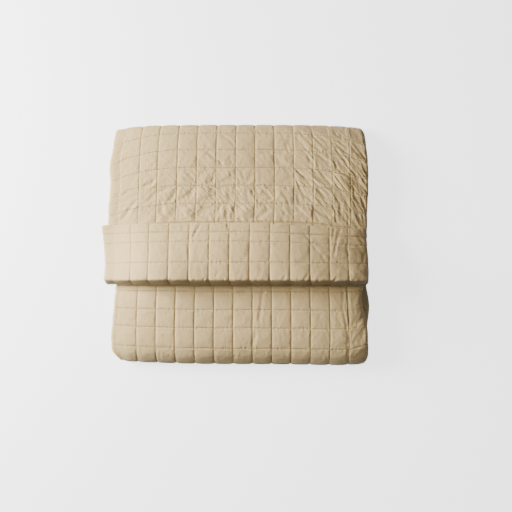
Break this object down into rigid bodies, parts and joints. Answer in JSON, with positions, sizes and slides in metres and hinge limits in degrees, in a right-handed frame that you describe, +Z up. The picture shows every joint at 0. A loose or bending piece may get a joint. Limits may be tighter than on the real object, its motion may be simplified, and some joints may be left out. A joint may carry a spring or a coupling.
{
  "type": "quilted bedspread, folded",
  "caption": "Square-quilted cotton bedspread folded into a soft flat packet, with the end of its upper flap turned back as a cuff.",
  "frame": {"origin": "middle of the folded packet's outline, on the surface it lies on", "axes": "+X across the packet, along the cuff; +Y from the front roll to the back roll; +Z up"},
  "size_m": [0.6918, 0.6352, 0.105],
  "materials": {
    "quilted_cotton": "beige cotton, matt with a faint sheen, padded and stitched in squares with thread of the same colour"
  },
  "bodies": {
    "root": {"quilted_bedspread": "quilted_cotton"}
  },
  "joints": []
}
